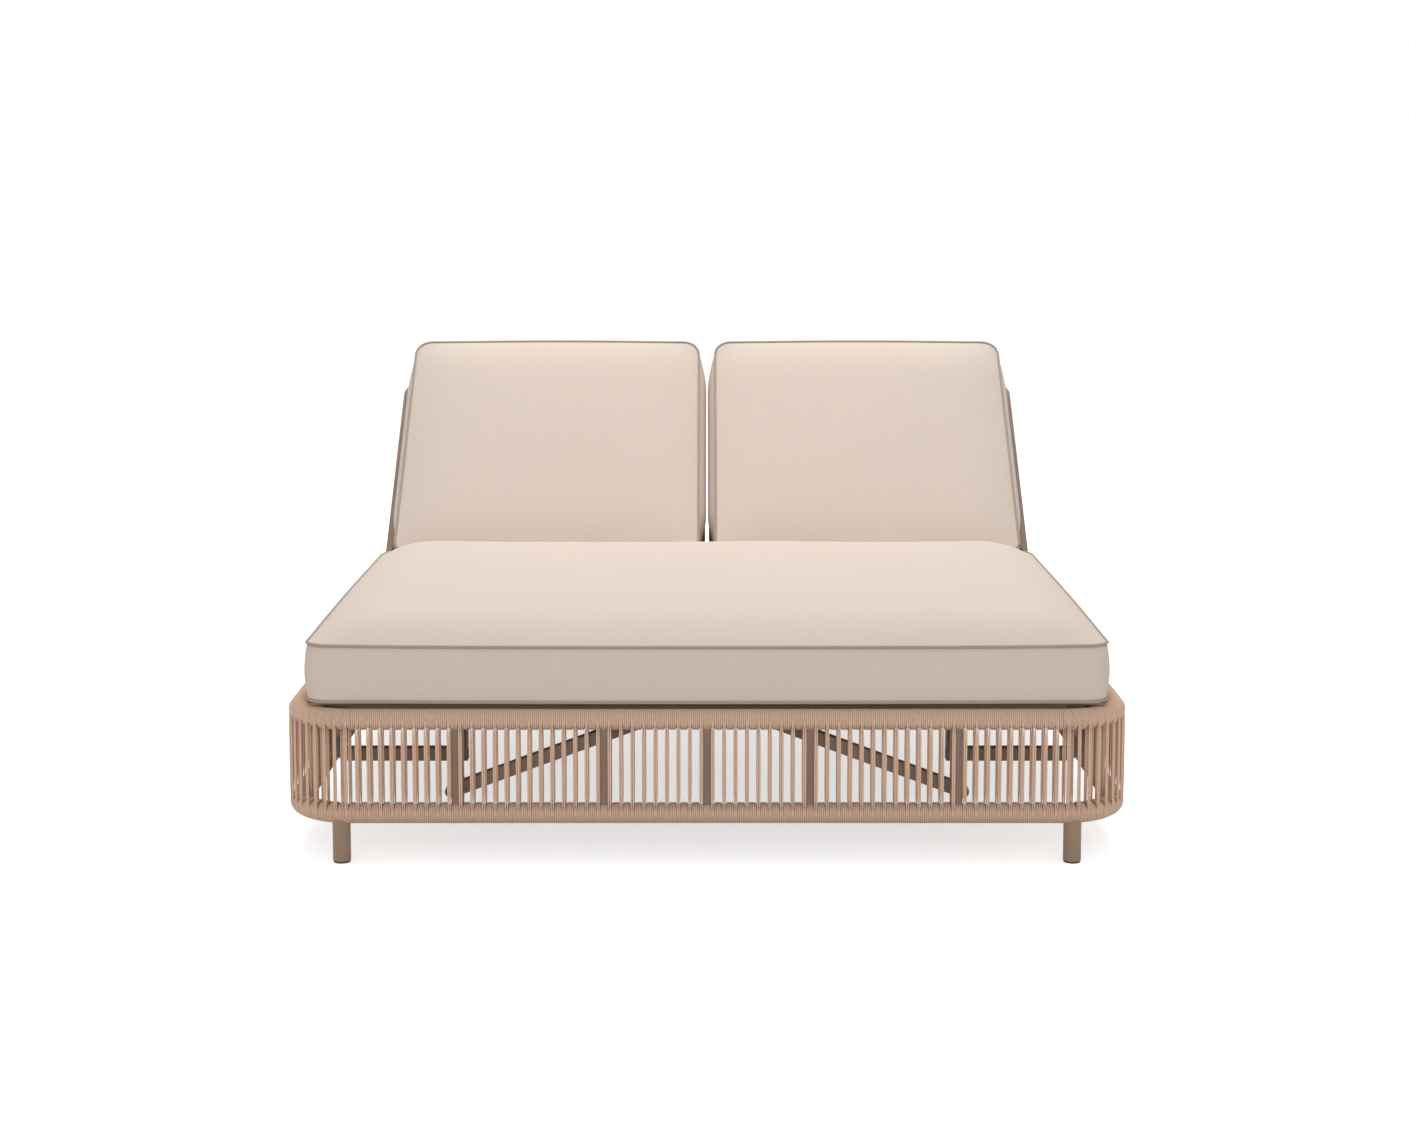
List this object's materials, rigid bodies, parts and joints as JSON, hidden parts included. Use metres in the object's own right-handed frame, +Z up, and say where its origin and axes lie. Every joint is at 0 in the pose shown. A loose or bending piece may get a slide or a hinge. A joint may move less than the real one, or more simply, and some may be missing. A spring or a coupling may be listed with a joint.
{
  "type": "double chaise lounger",
  "caption": "Low outdoor double lounger: rope-wound ring base on legs, wide seat cushion, and reclining cushioned backs on folding props.",
  "frame": {"origin": "on the ground under the middle of the base", "axes": "+X to the right seen from the foot end, +Y from the foot end to the head end, +Z up"},
  "size_m": [1.66, 2, 0.8938],
  "materials": {
    "frame_tube": "taupe powder coat, matt",
    "leg_tube": "taupe powder coat, matt",
    "rope": "braided outdoor rope, warm tan",
    "cushion": "pale beige woven outdoor cloth over foam",
    "fastener": "stainless",
    "glide": "dark nylon",
    "bumper": "black rubber"
  },
  "bodies": {
    "base": {"upper_rail_front": "frame_tube", "upper_rail_rear": "frame_tube", "upper_rail_left": "frame_tube", "upper_rail_right": "frame_tube", "lower_rail_front": "frame_tube", "lower_rail_rear": "frame_tube", "lower_rail_left": "frame_tube", "lower_rail_right": "frame_tube", "rail_corner_bends": "frame_tube", "rope_panel_front": "rope", "rope_panel_rear": "rope", "rope_panel_left": "rope", "rope_panel_right": "rope", "rope_corner_front_left": "rope", "leg_front_left": "leg_tube", "rope_corner_front_right": "rope", "leg_front_right": "leg_tube", "rope_corner_rear_left": "rope", "leg_rear_left": "leg_tube", "rope_corner_rear_right": "rope", "leg_rear_right": "leg_tube", "leg_glides": "glide", "frame_posts": "frame_tube", "deck_side_ledgers": "frame_tube", "deck_long_beams": "frame_tube", "deck_cross_beams": "frame_tube", "deck_stubs": "frame_tube", "deck_slats": "frame_tube", "deck_slat_screws": "fastener", "hanger_bars": "frame_tube", "hanger_uprights": "frame_tube", "front_braces": "frame_tube", "brace_bolts": "fastener", "seat_cushion": "cushion", "hinge_ears": "frame_tube", "hinge_pins": "fastener", "prop_racks": "frame_tube", "deck_bumpers": "bumper"},
    "left_back": {"left_back_side_tube_outer": "frame_tube", "left_back_side_tube_inner": "frame_tube", "left_back_top_rail": "frame_tube", "left_back_cross_tubes": "frame_tube", "left_back_hinge_arms": "frame_tube", "left_back_slats": "frame_tube", "left_back_cushion": "cushion", "left_back_prop_pins": "fastener"},
    "left_prop": {"left_prop_arms": "frame_tube", "left_prop_foot_rod": "fastener", "left_prop_foot_sleeves": "glide"},
    "right_back": {"right_back_side_tube_outer": "frame_tube", "right_back_side_tube_inner": "frame_tube", "right_back_top_rail": "frame_tube", "right_back_cross_tubes": "frame_tube", "right_back_hinge_arms": "frame_tube", "right_back_slats": "frame_tube", "right_back_cushion": "cushion", "right_back_prop_pins": "fastener"},
    "right_prop": {"right_prop_arms": "frame_tube", "right_prop_foot_rod": "fastener", "right_prop_foot_sleeves": "glide"}
  },
  "joints": [
    {"name": "left_back_recline", "type": "hinge", "parent": "base", "child": "left_back", "pos_m": [-0.402, 0.262, 0.386], "axis": [1, 0, 0], "range_deg": [-42, 23]},
    {"name": "left_prop_fold", "type": "hinge", "parent": "left_back", "child": "left_prop", "pos_m": [-0.402, 0.51678, 0.49161], "axis": [1, 0, 0], "range_deg": [-46, 83]},
    {"name": "right_back_recline", "type": "hinge", "parent": "base", "child": "right_back", "pos_m": [0.402, 0.262, 0.386], "axis": [1, 0, 0], "range_deg": [-42, 23]},
    {"name": "right_prop_fold", "type": "hinge", "parent": "right_back", "child": "right_prop", "pos_m": [0.402, 0.51678, 0.49161], "axis": [1, 0, 0], "range_deg": [-46, 83]}
  ],
  "couplings": [
    {"joint": "left_prop_fold", "follows": "left_back_recline", "ratio": -1.97},
    {"joint": "right_prop_fold", "follows": "right_back_recline", "ratio": -1.97}
  ]
}
